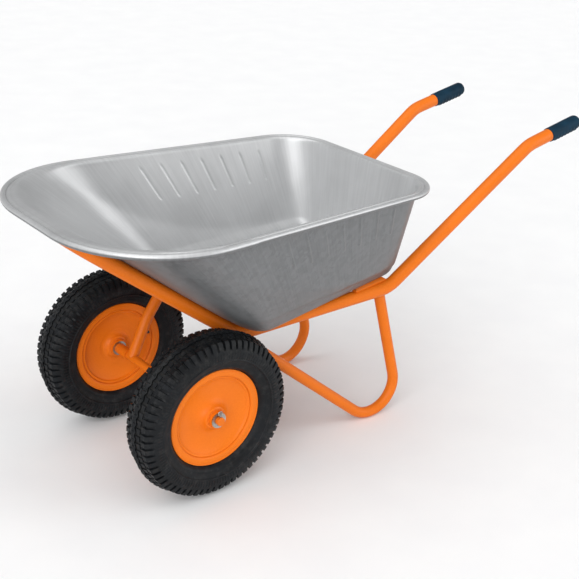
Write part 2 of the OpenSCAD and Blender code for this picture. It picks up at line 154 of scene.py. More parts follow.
# ---- material helpers ----
def add(tree, kind, inputs=None, **settings):
    """Adds a node; inputs may be numbers, colours or other nodes' outputs."""
    node = tree.nodes.new(kind)
    for key, value in settings.items():
        setattr(node, key, value)
    for key, value in (inputs or {}).items():
        if isinstance(value, bpy.types.NodeSocket):
            tree.links.new(value, node.inputs[key])
        else:
            node.inputs[key].default_value = value
    return node


def new_material(name, **sockets):
    m = bpy.data.materials.new(name)
    m.use_nodes = True
    tree = m.node_tree
    shader = tree.nodes["Principled BSDF"]
    for key, value in sockets.items():
        shader.inputs[key.replace("_", " ").title().replace("Ior", "IOR")].default_value = value
    return m, tree, shader


def coordinates(tree, scale=(1, 1, 1), attribute=None):
    """The piece's own coordinates, or a vector that its mesh carries, stretched by scale."""
    if attribute:
        source = add(tree, "ShaderNodeAttribute", attribute_name=attribute).outputs["Vector"]
    else:
        source = add(tree, "ShaderNodeTexCoord").outputs["Object"]
    return add(tree, "ShaderNodeMapping", {"Vector": source, "Scale": scale}).outputs["Vector"]


def noise(tree, vector, scale, detail=2.0, roughness=0.5):
    return add(tree, "ShaderNodeTexNoise", {"Vector": vector, "Scale": scale, "Detail": detail,
                                            "Roughness": roughness}).outputs["Fac"]


def cells(tree, vector, scale):
    node = add(tree, "ShaderNodeTexVoronoi", {"Vector": vector, "Scale": scale})
    return add(tree, "ShaderNodeSeparateColor", {"Color": node.outputs["Color"]}).outputs[0]


def ramp(tree, value, stops):
    node = add(tree, "ShaderNodeValToRGB", {"Fac": value})
    elements = node.color_ramp.elements
    while len(elements) < len(stops):
        elements.new(0.5)
    for element, (position, colour) in zip(elements, stops):
        element.position = position
        element.color = (*colour, 1)
    return node.outputs["Color"]


def spread(tree, value, low, high, start=0.0, end=1.0):
    """Maps value from start..end to low..high and stops there."""
    return add(tree, "ShaderNodeMapRange", {"Value": value, "From Min": start, "From Max": end,
                                            "To Min": low, "To Max": high}).outputs["Result"]


def maths(tree, operation, a, b):
    return add(tree, "ShaderNodeMath", {0: a, 1: b}, operation=operation).outputs["Value"]


def mix(tree, factor, a, b, blend="MIX"):
    node = add(tree, "ShaderNodeMix", data_type="RGBA", blend_type=blend)
    for index, value in ((0, factor), (6, a), (7, b)):
        if isinstance(value, bpy.types.NodeSocket):
            tree.links.new(value, node.inputs[index])
        else:
            node.inputs[index].default_value = value if index == 0 else (*value, 1)
    return node.outputs[2]


def bump(tree, height, strength, distance, below=None):
    inputs = {"Height": height, "Strength": strength, "Distance": distance}
    if below is not None:
        inputs["Normal"] = below
    return add(tree, "ShaderNodeBump", inputs).outputs["Normal"]


def finish_material(tree, shader, colour, roughness, normal):
    tree.links.new(colour, shader.inputs["Base Color"])
    tree.links.new(roughness, shader.inputs["Roughness"])
    tree.links.new(normal, shader.inputs["Normal"])


# ---- materials ----
def galvanised(name, attribute=None):
    """Zinc coated sheet: drawn streaks, faint crystals, darker random patches, and painted light: a brighter
    tone on the faces that look into the tray and a darker painted-shade tone on the outer face.
    """
    m, tree, shader = new_material(name, metallic=0.45)
    along = (150, 5, 1) if attribute else (60, 60, 5)
    streak_at = coordinates(tree, along, attribute)
    here = coordinates(tree)
    streaks = noise(tree, streak_at, 1.0, detail=4, roughness=0.65)
    crystals = cells(tree, here, 95)
    patches = noise(tree, here, 5, detail=3)
    # Painted light: faces that look into the tray and the top of the rolled edge take a brighter zinc tone,
    # all other faces a darker tone as painted shade.
    painted_lit_mask = add(tree, "ShaderNodeAttribute", attribute_name="inside").outputs["Fac"]
    painted_shade_tone = mix(tree, spread(tree, streaks, 0, 1, 0.3, 0.7), (0.135, 0.140, 0.144), (0.176, 0.182, 0.187))
    painted_lit_tone = mix(tree, spread(tree, streaks, 0, 1, 0.3, 0.7), (0.50, 0.505, 0.51), (0.58, 0.585, 0.59))
    tone = mix(tree, painted_lit_mask, painted_shade_tone, painted_lit_tone)
    tone = mix(tree, spread(tree, crystals, 0, 0.07), tone, (0.62, 0.63, 0.64))
    tone = mix(tree, spread(tree, patches, 0, 0.3, 0.45, 0.8), tone, (0.20, 0.206, 0.21))
    rough = maths(tree, "ADD", spread(tree, streaks, 0.34, 0.44, 0.3, 0.7),
                  spread(tree, crystals, -0.02, 0.03))
    waves = bump(tree, noise(tree, here, 9, detail=1), 0.3, 3 * MM)
    fine = bump(tree, streaks, 0.12, 0.15 * MM, waves)
    finish_material(tree, shader, tone, rough, fine)
    return m


def powder_coat(name, colour, scuffs=0.0):
    """Baked paint with a fine orange peel, slow drifts of tone and, low down, a few scuffs."""
    m, tree, shader = new_material(name, specular_ior_level=0.2)
    here = coordinates(tree)
    drift = noise(tree, here, 7, detail=3)
    grain = noise(tree, here, 260, detail=2)
    deep = tuple(c * 0.90 for c in colour)
    tone = mix(tree, spread(tree, drift, 0, 1, 0.3, 0.7), deep, colour)
    tone = mix(tree, spread(tree, grain, 0, 0.10, 0.4, 0.7), tone, (1.0, 0.30, 0.02))
    rough = spread(tree, drift, 0.36, 0.48, 0.3, 0.7)
    if scuffs:
        specks = spread(tree, noise(tree, here, 130, detail=6, roughness=0.7), 0, 1, 0.66, 0.69)
        height = add(tree, "ShaderNodeSeparateXYZ", {"Vector": here}).outputs["Z"]
        low_down = spread(tree, height, 1, 0.0, 0.0, scuffs)
        worn = maths(tree, "MULTIPLY", specks, low_down)
        tone = mix(tree, worn, tone, (0.18, 0.17, 0.16))
        rough = maths(tree, "ADD", rough, maths(tree, "MULTIPLY", worn, 0.25))
    peel = bump(tree, noise(tree, here, 480, detail=1), 0.12, 0.25 * MM)
    finish_material(tree, shader, tone, rough, peel)
    return m


def rubber(name, colour, dust=0.0, grain=700, shine=0.2):
    m, tree, shader = new_material(name, specular_ior_level=shine)
    here = coordinates(tree)
    mottle = noise(tree, here, 22, detail=4)
    tone = mix(tree, spread(tree, mottle, 0, 1, 0.35, 0.7), tuple(c * 0.65 for c in colour),
               tuple(c * 1.35 for c in colour))
    if dust:
        film = spread(tree, noise(tree, here, 55, detail=5, roughness=0.7), 0, dust, 0.5, 0.75)
        tone = mix(tree, film, tone, (0.20, 0.19, 0.175))
    rough = spread(tree, mottle, 0.42, 0.62, 0.3, 0.7)
    skin = bump(tree, noise(tree, here, grain, detail=2), 0.25, 0.2 * MM)
    finish_material(tree, shader, tone, rough, skin)
    return m


def zinc(name):
    m, tree, shader = new_material(name, metallic=1.0)
    here = coordinates(tree)
    cloud = noise(tree, here, 60, detail=3)
    scratches = noise(tree, coordinates(tree, (900, 60, 900)), 1.0, detail=3)
    tone = mix(tree, spread(tree, cloud, 0, 1, 0.3, 0.7), (0.30, 0.295, 0.28), (0.48, 0.47, 0.45))
    rough = spread(tree, scratches, 0.22, 0.42, 0.3, 0.7)
    finish_material(tree, shader, tone, rough, bump(tree, scratches, 0.15, 0.1 * MM))
    return m


def plastic(name, colour):
    m, tree, shader = new_material(name)
    here = coordinates(tree)
    mottle = noise(tree, here, 90, detail=3)
    tone = mix(tree, mottle, tuple(c * 0.7 for c in colour), tuple(c * 1.4 for c in colour))
    rough = spread(tree, mottle, 0.45, 0.6)
    finish_material(tree, shader, tone, rough, bump(tree, noise(tree, here, 1200), 0.2, 0.1 * MM))
    return m


ORANGE = (0.74, 0.158, 0.007)
materials = {
    "sheet": galvanised("galvanised_sheet", "grain"),
    "wire": galvanised("galvanised_wire"),
    "frame": powder_coat("orange_frame_paint", ORANGE, scuffs=0.05),
    "wheel": powder_coat("orange_wheel_paint", (0.80, 0.174, 0.006)),
    "weld": powder_coat("orange_weld_paint", (0.72, 0.148, 0.006)),
    "tyre": rubber("tyre_rubber", (0.0050, 0.0060, 0.0075), dust=0.10),
    "tube": rubber("tube_rubber", (0.012, 0.012, 0.012)),
    "grip": rubber("grip_rubber", (0.005, 0.026, 0.048), grain=450, shine=0.1),
    "cap": plastic("black_plastic", (0.012, 0.012, 0.013)),
    "zinc": zinc("zinc_steel"),
}


# ---- mesh helpers ----
def piece(name, vertices, faces, body, material, replaces=(), sharp=38):
    """A new mesh object that rides on a CAD body and may stand for CAD nodes."""
    mesh = bpy.data.meshes.new(name)
    mesh.from_pydata([tuple(v) for v in vertices], [], faces)
    mesh.validate()
    mesh.shade_smooth()
    mesh.set_sharp_from_angle(angle=math.radians(sharp))
    mesh.materials.append(material)
    obj = bpy.data.objects.new(name, mesh)
    bpy.context.scene.collection.objects.link(obj)
    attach(obj, body)
    if replaces:
        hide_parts(*replaces)
    return obj


def grid_faces(rows, columns, close_rows=False, flip=False):
    """Quads over a grid of points whose columns run round and close."""
    faces = []
    for i in range(rows if close_rows else rows - 1):
        for j in range(columns):
            k, n = (j + 1) % columns, (i + 1) % rows
            quad = (i * columns + j, i * columns + k, n * columns + k, n * columns + j)
            faces.append(quad[::-1] if flip else quad)
    return faces


def apply_modifiers(obj):
    bpy.context.view_layer.update()
    evaluated = obj.evaluated_get(bpy.context.evaluated_depsgraph_get())
    mesh = bpy.data.meshes.new_from_object(evaluated)
    obj.modifiers.clear()
    old, obj.data = obj.data, mesh
    bpy.data.meshes.remove(old)


def unit(v):
    return v / np.linalg.norm(v)


def arc(centre, radius, start, end, steps):
    """Points of a circular arc, angles in degrees."""
    turns = np.radians(np.linspace(start, end, steps + 1))
    return [(centre[0] + radius * math.cos(a), centre[1] + radius * math.sin(a)) for a in turns]


def bulge(p, q, height, steps):
    """Points of an arc from p to q that bulges by height to the left of the way from p to q."""
    p, q = np.array(p, float), np.array(q, float)
    half = np.linalg.norm(q - p) / 2
    radius = (half * half + height * height) / (2 * height)
    way = (q - p) / (2 * half)
    left = np.array([-way[1], way[0]])
    centre = (p + q) / 2 + left * (height - radius)
    top = math.asin(half / radius)
    return [tuple(centre + radius * (left * math.cos(top * t) + way * math.sin(top * t)))
            for t in np.linspace(-1, 1, steps + 1)]


def rounded(points, radius, steps=4, closed=True):
    """The same path with its corners rounded by short arcs."""
    points = [np.array(p, float) for p in points]
    count = len(points)
    result = []
    for i, q in enumerate(points):
        if not closed and i in (0, count - 1):
            result.append(tuple(q))
            continue
        p, r = points[i - 1], points[(i + 1) % count]
        u, v = unit(q - p), unit(r - q)
        angle = math.acos(max(-1, min(1, float(u @ v))))
        if angle < math.radians(12):
            result.append(tuple(q))
            continue
        back = min(radius * math.tan(angle / 2), 0.45 * np.linalg.norm(q - p),
                   0.45 * np.linalg.norm(r - q))
        for t in np.linspace(0, 1, steps + 1):
            a, b = q - u * back * (1 - t), q + v * back * t
            result.append(tuple(a * (1 - t) + b * t))
    return result


# ---- tray ----
SHEET = 1.0 * MM
floor_mount = frame["record"]["mounts"][0]
floor_point, floor_axis = floor_mount["pos_m"], floor_mount["axis"]
tray_low, tray_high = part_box("tray")
RIM_BACK_Z = 0.644
RIM_FRONT_Z = tray_high.z - SHEET
RIM_BACK_X = tray_low.x + SHEET
RIM_FRONT_X = tray_high.x - SHEET
RIM_BACK_HALF, RIM_FRONT_HALF = 0.286, 0.364
RIM_BACK_R, RIM_FRONT_R = 0.132, 0.257
LIP_BACK, LIP_SIDE, LIP_FRONT = 0.026, 0.024, 0.040
FLOOR_BACK_X, FLOOR_FRONT_X = AXLE.x - 0.5965, AXLE.x - 0.1348
FLOOR_BACK_HALF, FLOOR_FRONT_HALF = 0.178, 0.218
FLOOR_BACK_R, FLOOR_FRONT_R = 0.042, 0.046
FLOOR_BEND = 0.021
WALL_START, WALL_END = 0.142, 0.965
PANEL_UP = 1.0 * MM
BEAD_FRONT, BEAD_BACK = 6.9 * MM, 5.6 * MM
BEAD_STEP_X = AXLE.x - 0.036
RIB_AT = [0.075 + 0.112 * k for k in range(7)]
RIB_LOW, RIB_HIGH = 0.60, 0.86
RIB_HALF, RIB_TALL = 5.5 * MM, 1.5 * MM
WALL_TALL = 0.28
EDGE_DEPTH = 6 * MM


def floor_z(x):
    drop = (x - floor_point[0]) * floor_axis[0] / floor_axis[2]
    return floor_point[2] - drop - PANEL_UP - SHEET / 2


def rim_z(x):
    return RIM_BACK_Z + (RIM_FRONT_Z - RIM_BACK_Z) * (x - RIM_BACK_X) / (RIM_FRONT_X - RIM_BACK_X)


def side_stations():
    """Where the grid's lines cross a side wall: closer together at each pressed rib."""
    around_rib = [RIB_HALF * k / 4 / 0.5 for k in range(-5, 6)]
    near = [u + d for u in RIB_AT for d in around_rib]
    far = [u for u in np.linspace(0, 1, 71)[1:-1] if all(abs(u - r) > 0.018 for r in RIB_AT)]
    return np.array(sorted(near + far))


def wall_rows():
    """Where the grid's rings cross the walls: closer together at the ends of the ribs."""
    ends = [e + d for e in (RIB_LOW, RIB_HIGH) for d in (-0.02, -0.012, -0.005, 0.003)]
    even = [t for t in np.linspace(WALL_START, WALL_END, 30) if all(abs(t - e) > 0.008 for e in ends)]
    return sorted(ends + even)


SIDE_AT = side_stations()
END_AT = np.linspace(0, 1, 26)[1:-1]


def corner_arc(p, q, r, radius, steps):
    u, v = unit(q - p), unit(r - q)
    angle = math.acos(float(u @ v))
    centre = q - u * radius * math.tan(angle / 2) + np.array([u[1], -u[0]]) * radius
    start = math.atan2(u[0], -u[1])
    return [centre + radius * np.array([math.cos(start - angle * i / steps),
                                        math.sin(start - angle * i / steps)])
            for i in range(steps + 1)]


def outline(x0, y0, r0, x1, y1, r1):
    """A closed ring of points: back edge at x0, front edge at x1, four round corners."""
    a, b, c, d = (np.array(p) for p in ((x0, -y0), (x0, y0), (x1, y1), (x1, -y1)))
    corners = [corner_arc(a, b, c, r0, 26), corner_arc(b, c, d, r1, 40),
               corner_arc(c, d, a, r1, 40), corner_arc(d, a, b, r0, 26)]
    between = [SIDE_AT, END_AT, 1 - SIDE_AT[::-1], END_AT]
    ring = []
    for i in range(4):
        p, q = corners[i][-1], corners[(i + 1) % 4][0]
        ring += corners[i] + [p + (q - p) * u for u in between[i]]
    return np.array(ring)


def lifted(ring, height):
    return np.column_stack([ring, [height(x) for x in ring[:, 0]]])


def rim_ring(inset, drop):
    """The rim's outline moved inward by inset, and down by drop."""
    ring = outline(RIM_BACK_X + inset, RIM_BACK_HALF - inset, RIM_BACK_R - inset,
                   RIM_FRONT_X - inset, RIM_FRONT_HALF - inset, RIM_FRONT_R - inset)
    return lifted(ring, rim_z) - [0, 0, drop]


def top_ring(grow, drop=0.0):
    ring = outline(RIM_BACK_X + LIP_BACK - grow, RIM_BACK_HALF - LIP_SIDE + grow,
                   RIM_BACK_R - LIP_SIDE + grow, RIM_FRONT_X - LIP_FRONT + grow,
                   RIM_FRONT_HALF - LIP_SIDE + grow, RIM_FRONT_R - LIP_SIDE + grow)
    return lifted(ring, rim_z) - [0, 0, drop]


def base_ring(grow):
    ring = outline(FLOOR_BACK_X - grow, FLOOR_BACK_HALF + grow, FLOOR_BACK_R + grow,
                   FLOOR_FRONT_X + grow, FLOOR_FRONT_HALF + grow, FLOOR_FRONT_R + grow)
    return lifted(ring, floor_z)


def panel_ring(grow, up):
    """The edge of the shallow panel pressed up in the middle of the floor."""
    ring = outline(AXLE.x - 0.480 - grow, 0.140 + grow, 0.020 + grow,
                   AXLE.x - 0.248 + grow, 0.140 + grow, 0.020 + grow)
    return lifted(ring, floor_z) + [0, 0, up]


def smooth_step(x, low, high):
    t = np.clip((x - low) / (high - low), 0, 1)
    return t * t * (3 - 2 * t)


def pressing(ring, t, station):
    """How far the side walls stand out at height t: a soft crease and a row of pressed ribs."""
    x = ring[:, 0] - AXLE.x
    crease = np.clip(0.17 + 2.0 * (x + 0.52) ** 2, 0, 0.93)
    below, above = t / crease, (1 - t) / (1 - crease)
    sharpness = 16.0
    tent = -np.log(np.exp(-sharpness * below) + np.exp(-sharpness * above)) / sharpness
    on_side = np.abs(ring[:, 1]) > 0.12
    reach = smooth_step(x, -0.62, -0.50) * (1 - smooth_step(x, -0.02, 0.12)) * on_side
    push = 10.5 * MM * np.clip(tent, 0, 1) * reach
    beyond = max(RIB_LOW - t, t - RIB_HIGH, 0) * WALL_TALL
    for rib in RIB_AT:
        across = np.where(station >= 0, np.abs(station - rib) * 0.5, 1.0)
        away = np.hypot(across, beyond)
        push += RIB_TALL * (1 - smooth_step(away, 0.15 * RIB_HALF, RIB_HALF))
    return push


def mix_rings(a, b, t):
    return a * (1 - t) + b * t


def curve(a, b, c, t):
    return mix_rings(mix_rings(a, b, t), mix_rings(b, c, t), t)


def build_tray():
    base, flat = base_ring(0), base_ring(-0.78 * FLOOR_BEND)
    top = top_ring(0)
    wall = mix_rings(base, top, WALL_START)
    rows = [panel_ring(0, PANEL_UP), panel_ring(1 * MM, 0.75 * PANEL_UP), panel_ring(2 * MM, 0.25 * PANEL_UP),
            panel_ring(3 * MM, 0)]
    rows += [curve(flat, base, wall, t) for t in np.linspace(0, 1, 9)[:-1]]
    corner_counts = (27, 41, 41, 27)
    station = []
    for i, count in enumerate(corner_counts):
        station += [-1.0] * count
        station += list((SIDE_AT, -np.ones(len(END_AT)), SIDE_AT[::-1], -np.ones(len(END_AT)))[i])
    station = np.array(station)
    outward = np.column_stack([np.zeros(len(station)), np.sign(base[:, 1]), -0.3 * np.ones(len(station))])
    for t in wall_rows():
        ring = mix_rings(base, top, t)
        rows.append(ring + outward * pressing(ring, t, station)[:, None])
    neck, shelf = mix_rings(base, top, WALL_END), top_ring(8 * MM, 1.0 * MM)
    rows += [curve(neck, top, shelf, t) for t in np.linspace(0, 1, 6)[1:]]
    narrow = rim_ring(0, 0)
    front = smooth_step(narrow[:, 0], BEAD_STEP_X - 7 * MM, BEAD_STEP_X + 7 * MM)
    bead = (BEAD_BACK + (BEAD_FRONT - BEAD_BACK) * front)[:, None]
    inward = (rim_ring(10 * MM, 0) - narrow) / (10 * MM)
    down = np.array([0, 0, -1.0])
    groove = narrow + inward * bead * 2.15 + down * 3.0 * MM
    rows += [mix_rings(shelf, groove, 0.3) + down * 0.2 * MM, mix_rings(shelf, groove, 0.5) - down * 0.9 * MM,
             mix_rings(shelf, groove, 0.62) - down * 1.3 * MM, mix_rings(shelf, groove, 0.8), groove]
    for angle in np.radians(np.linspace(160, -170, 19)):
        rows.append(narrow + inward * bead * (1 - math.cos(angle)) + down * bead * (1 - math.sin(angle)))
    count = len(base)
    vertices = np.concatenate(rows)
    faces = grid_faces(len(rows), count, flip=True) + [tuple(range(count))]
    tray = piece("tray_pressing", vertices, faces, "root", materials["sheet"],
                 replaces=["tray"], sharp=50)
    add_grain(tray, rows)
    thicken = tray.modifiers.new("sheet", "SOLIDIFY")
    thicken.thickness = SHEET
    thicken.offset = 0
    apply_modifiers(tray)
    mark_inside(tray)
    return tray


def mark_inside(obj):
    """Marks the faces that look into the tray, and the top of the rolled edge, which the material paints
    brighter: painted light on the inner faces and a painted highlight along the edge.
    """
    mesh = obj.data
    count = len(mesh.vertices)
    points, normals = np.empty(count * 3), np.empty(count * 3)
    mesh.vertices.foreach_get("co", points)
    mesh.vertex_normals.foreach_get("vector", normals)
    above = np.array([AXLE.x - 0.25, 0, RIM_FRONT_Z + 0.15])
    points = points.reshape(-1, 3)
    facing = np.sum((above - points) * normals.reshape(-1, 3), axis=1)
    # The top of the rolled edge is marked too, so that the material paints a highlight along the bead.
    painted_highlight_edge = points[:, 2] > rim_z(points[:, 0]) - EDGE_DEPTH
    attribute = mesh.attributes.new("inside", "FLOAT", "POINT")
    attribute.data.foreach_set("value", ((facing > 0) | painted_highlight_edge).astype(np.float32))


def add_grain(obj, rows):
    """Carries the distance round the tray and up its walls to the material, in metres."""
    grid = np.array(rows)
    around = np.linalg.norm(np.diff(grid[len(rows) // 2], axis=0, prepend=grid[len(rows) // 2][-1:]), axis=1)
    around = np.cumsum(around)
    up = np.cumsum(np.linalg.norm(np.diff(grid, axis=0, prepend=grid[:1]), axis=2), axis=0)
    values = np.stack([np.broadcast_to(around, up.shape), up, np.zeros_like(up)], axis=2)
    attribute = obj.data.attributes.new("grain", "FLOAT_VECTOR", "POINT")
    attribute.data.foreach_set("vector", values.reshape(-1).astype(np.float32))


# ---- wheels ----
def lathe(profile, side, segments=144):
    """Turns a section of (radius, distance outward) about the wheel's axis."""
    centre = Vector((AXLE.x, side * WHEEL_Y, AXLE.z))
    vertices = []
    for radius, out in profile:
        for k in range(segments):
            a = 2 * math.pi * k / segments
            vertices.append((centre.x + radius * math.cos(a), centre.y + side * out,
                             centre.z + radius * math.sin(a)))
    return vertices


def turned_piece(name, profile, side_name, material, replaces=(), sharp=38):
    side = SIDES[side_name]
    vertices = lathe(profile, side)
    faces = grid_faces(len(profile), 144, close_rows=True, flip=side > 0)
    return piece(f"{name}_{side_name}", vertices, faces, f"{side_name}_wheel", material,
                 replaces, sharp)


FLANGE_R = 0.1184
SEAT_R = 0.1016
TYRE_HALF = (tyre_high.y - tyre_low.y) / 2
LUGS = 66
LUG_STEPS = (0.0, 0.05, 0.19, 0.33, 0.38, 0.44, 0.5, 0.55, 0.69, 0.83, 0.88, 0.94)


def tyre_section():
    """Half of the tyre's outer section, from the crown to the bead, and its length along it."""
    shoulder = (TYRE_R - 10 * MM, TYRE_HALF - 10.5 * MM)
    crown = bulge((TYRE_R, 0), shoulder, 2.6 * MM, 24)
    wall = bulge(shoulder, (FLANGE_R + 1.4 * MM, 33 * MM), -12.75 * MM, 60)
    bead = [(FLANGE_R + 0.6 * MM, 29.4 * MM), (112 * MM, 28.4 * MM), (SEAT_R + 0.4 * MM, 28.2 * MM)]
    points = np.array(crown + wall[1:] + bead)
    length = np.concatenate([[0], np.cumsum(np.linalg.norm(np.diff(points, axis=0), axis=1))])
    return points, length


# Lines across half the tread: distance from the middle, share of the zigzag, what is cut there
TREAD_LINES = [
    (0.0, 0.0), (3.0, 0.2), (6.0, 0.6), (8.0, 1.0), (8.8, 1.0), (11.2, 1.0), (12.0, 1.0),
    (15.0, 0.6), (18.5, 0.2), (21.5, 0.0), (22.3, 0.0), (24.7, 0.0), (25.5, 0.0),
]


def tread_grid():
    """Distances along the section, in metres, with the zigzag's share at each."""
    near = [(s * MM, z) for s, z in TREAD_LINES]
    shoulder = [(s * MM, 0.0) for s in np.arange(28.5, 66, 2.6)]
    side = [(s * MM, 0.0) for s in np.concatenate([np.arange(67, 98, 1.9), np.arange(99, 123, 2.4)])]
    return near + shoulder + side


def groove_depth(s, phase, side):
    """Depth of the moulded pattern at a distance s along the section and a phase of the lug pitch."""
    def band(x, low, high, edge):
        return np.clip(np.minimum((x - low), (high - x)) / edge, 0, 1)

    own = (phase + (0.5 if side < 0 else 0.0)) % 1.0
    slot = band(own, 0.0, 0.38, 0.05)
    sipe = band((own + 0.5) % 1.0, 0.0, 0.38, 0.05)
    zigzag = band(s, 8.0 * MM, 12.0 * MM, 0.8 * MM)
    channel = band(s, 21.5 * MM, 25.5 * MM, 0.8 * MM)
    fade = 1 - smooth_step(s, 52 * MM, 64 * MM)
    lugs = slot * (s > 24 * MM) * fade
    blocks = sipe * (s > 10 * MM) * (s < 23 * MM)
    middle = 0.45 * slot * (s < 4.6 * MM)
    deep = np.maximum.reduce([zigzag, channel, lugs, blocks, middle])
    ledge = 1.8 * MM * band(s, 82 * MM, 88 * MM, 1.5 * MM) + 1.8 * MM * band(s, 100 * MM, 112 * MM, 2.0 * MM)
    ribs = 0.9 * MM * band((phase * 2) % 1.0, 0.0, 0.5, 0.15) * band(s, 66 * MM, 81 * MM, 2 * MM)
    return 4.8 * MM * deep - ledge - ribs


def build_tyre(side_name):
    side = SIDES[side_name]
    points, length = tyre_section()
    slope = np.gradient(points, length, axis=0)
    normals = np.column_stack([slope[:, 1], -slope[:, 0]])
    normals /= np.linalg.norm(normals, axis=1)[:, None]
    half = [line for line in tread_grid() if line[0] < length[-1]]
    lines = [(-s, z, -1) for s, z in half[:0:-1]] + [(s, z, 1) for s, z in half]
    phases = np.array([k + p for k in range(LUGS) for p in LUG_STEPS])
    angles = 2 * math.pi * phases / LUGS
    tooth = 2 * np.abs(2 * (phases % 1.0) - 1) - 1
    centre = np.array([AXLE.x, side * WHEEL_Y, AXLE.z])
    rows = []
    for s, zig, half_side in lines:
        at = np.abs(s) + 1.8 * MM * zig * tooth * half_side
        depth = groove_depth(np.full_like(at, abs(s)), phases % 1.0, half_side)
        r = np.interp(at, length, points[:, 0]) - depth * np.interp(at, length, normals[:, 0])
        y = np.interp(at, length, points[:, 1]) - depth * np.interp(at, length, normals[:, 1])
        rows.append(np.column_stack([r * np.cos(angles), side * half_side * y, r * np.sin(angles)]) + centre)
    inner = [(SEAT_R + 0.4 * MM, -17 * MM), (SEAT_R + 14 * MM, -20 * MM), (0.170, -40 * MM),
             (0.188, -26 * MM), (0.193, 0), (0.188, 26 * MM), (0.170, 40 * MM), (SEAT_R + 14 * MM, 20 * MM),
             (SEAT_R + 0.4 * MM, 17 * MM)]
    for r, y in inner[::-1]:
        rows.append(np.column_stack([r * np.cos(angles), np.full_like(angles, side * y),
                                     r * np.sin(angles)]) + centre)
    count = len(angles)
    faces = grid_faces(len(rows), count, close_rows=True, flip=side < 0)
    return piece(f"tyre_tread_{side_name}", np.concatenate(rows), faces, f"{side_name}_wheel",
                 materials["tyre"], [f"tyre_{side_name}"], sharp=32)


def build_rim(side_name):
    skin, foot, lip = 2 * MM, 28.5 * MM, 31.6 * MM
    half = [(SEAT_R, foot - 1 * MM), (SEAT_R + 3 * MM, foot + 0.6 * MM),
            (FLANGE_R - 3.4 * MM, lip - 2.6 * MM)]
    roll = [(r, y) for r, y in arc((FLANGE_R - 2.0 * MM, lip - 1.2 * MM), 2.0 * MM, 250, -60, 12)]
    back = [(FLANGE_R - 4.4 * MM, lip - 0.4 * MM), (SEAT_R + 2 * MM, foot + 2.6 * MM), (SEAT_R - skin, foot)]
    upper = half + roll + back
    section = upper + [(r, -y) for r, y in upper[::-1]]
    turned_piece("rim_barrel", rounded(section, 1.5 * MM, 2), side_name,
                 materials["wheel"], [f"rim_{side_name}"])


def disc_section(face_height):
    """A pressed disc: edge flange, step ring, dish and a cone up to the hub."""
    skin = 2 * MM
    edge = SEAT_R - skin - 0.1 * MM
    hub_r = (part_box("hub_left")[1].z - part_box("hub_left")[0].z) / 2 + 0.1 * MM
    dish = bulge((88 * MM, 20.5 * MM), (46 * MM, 14.5 * MM), 2.5 * MM, 10)
    cone = bulge((46 * MM, 14.5 * MM), (hub_r + 6 * MM, face_height - 3 * MM), 3.5 * MM, 8)
    top = [(edge, 14 * MM), (edge, 26.8 * MM), (edge - 3.6 * MM, 26.4 * MM), (92 * MM, 22.6 * MM)]
    top = rounded(top + dish[:1], 5 * MM, 5, closed=False) + dish[1:] + cone[1:]
    top += [(hub_r + 1.5 * MM, face_height - 0.6 * MM), (hub_r, face_height)]
    under = [(r - (skin if r > edge - 1 * MM else 0), y - (0 if i < 1 else skin))
             for i, (r, y) in enumerate(top)]
    return top + under[::-1]


def build_discs(side_name):
    outer = disc_section(33 * MM)
    turned_piece("wheel_disc_outer", outer, side_name, materials["wheel"],
                 [f"disc_outer_{side_name}"])
    hub_low, hub_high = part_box(f"hub_{side_name}")
    hub_r = (hub_high.z - hub_low.z) / 2
    weld_ring("hub_weld_outer", hub_r + 0.7 * MM, 33.4 * MM, 1.6 * MM, side_name, 1.0)
    weld_ring("hub_weld_inner", hub_r + 0.7 * MM, -26.4 * MM, 1.6 * MM, side_name, 2.3)


def weld_ring(name, radius, out, thick, side_name, seed):
    """A rippled weld bead that runs round a wheel."""
    side = SIDES[side_name]
    count, around = 240, 8
    centre = Vector((AXLE.x, side * WHEEL_Y, AXLE.z))
    vertices = []
    for k in range(count):
        a = 2 * math.pi * k / count
        size = thick * (1 + 0.16 * math.sin(40 * a + seed) + 0.06 * math.sin(7 * a + 2 * seed))
        for j in range(around):
            b = 2 * math.pi * j / around
            r = radius + size * math.cos(b)
            vertices.append((centre.x + r * math.cos(a), centre.y + side * (out + size * math.sin(b)),
                             centre.z + r * math.sin(a)))
    faces = [(k * around + j, ((k + 1) % count) * around + j,
              ((k + 1) % count) * around + (j + 1) % around, k * around + (j + 1) % around)
             for k in range(count) for j in range(around)]
    if side > 0:
        faces = [f[::-1] for f in faces]
    return piece(f"{name}_{side_name}", vertices, faces, f"{side_name}_wheel",
                 materials["weld"], sharp=180)


# ---- weld beads on the frame ----
def sweep_bead(name, path, thick, seed=0.0):
    """A rippled bead along a closed path of points."""
    path = [Vector(p) for p in path]
    count, around = len(path), 8
    middle = sum(path, Vector()) / count
    vertices = []
    for k, point in enumerate(path):
        way = (path[(k + 1) % count] - path[k - 1]).normalized()
        out = (point - middle)
        out = (out - way * out.dot(way)).normalized()
        other = way.cross(out)
        size = thick * (1 + 0.18 * math.sin(1.1 * k + seed))
        for j in range(around):
            b = 2 * math.pi * j / around
            vertices.append(point + out * size * math.cos(b) + other * size * math.sin(b))
    faces = [(k * around + j, k * around + (j + 1) % around,
              ((k + 1) % count) * around + (j + 1) % around, ((k + 1) % count) * around + j)
             for k in range(count) for j in range(around)]
    return piece(name, vertices, faces, "root", materials["weld"], sharp=180)


def mirrored(v, side):
    return Vector((v.x + AXLE.x, side * v.y, v.z))


def joint_path(start, end, radius, target, count=72):
    """Points where a tube of that radius, coming from start towards end, meets a CAD node."""
    tree = BVHTree.FromObject(frame["nodes"][target], bpy.context.evaluated_depsgraph_get())
    way = (end - start).normalized()
    helper = Vector((0, 1, 0)) if abs(way.y) < 0.9 else Vector((1, 0, 0))
    across = way.cross(helper).normalized()
    other = way.cross(across)
    path = []
    for k in range(count):
        a = 2 * math.pi * k / count
        hit = tree.ray_cast(start + (across * math.cos(a) + other * math.sin(a)) * radius, way)[0]
        if hit is None:
            return []
        path.append(hit)
    return path


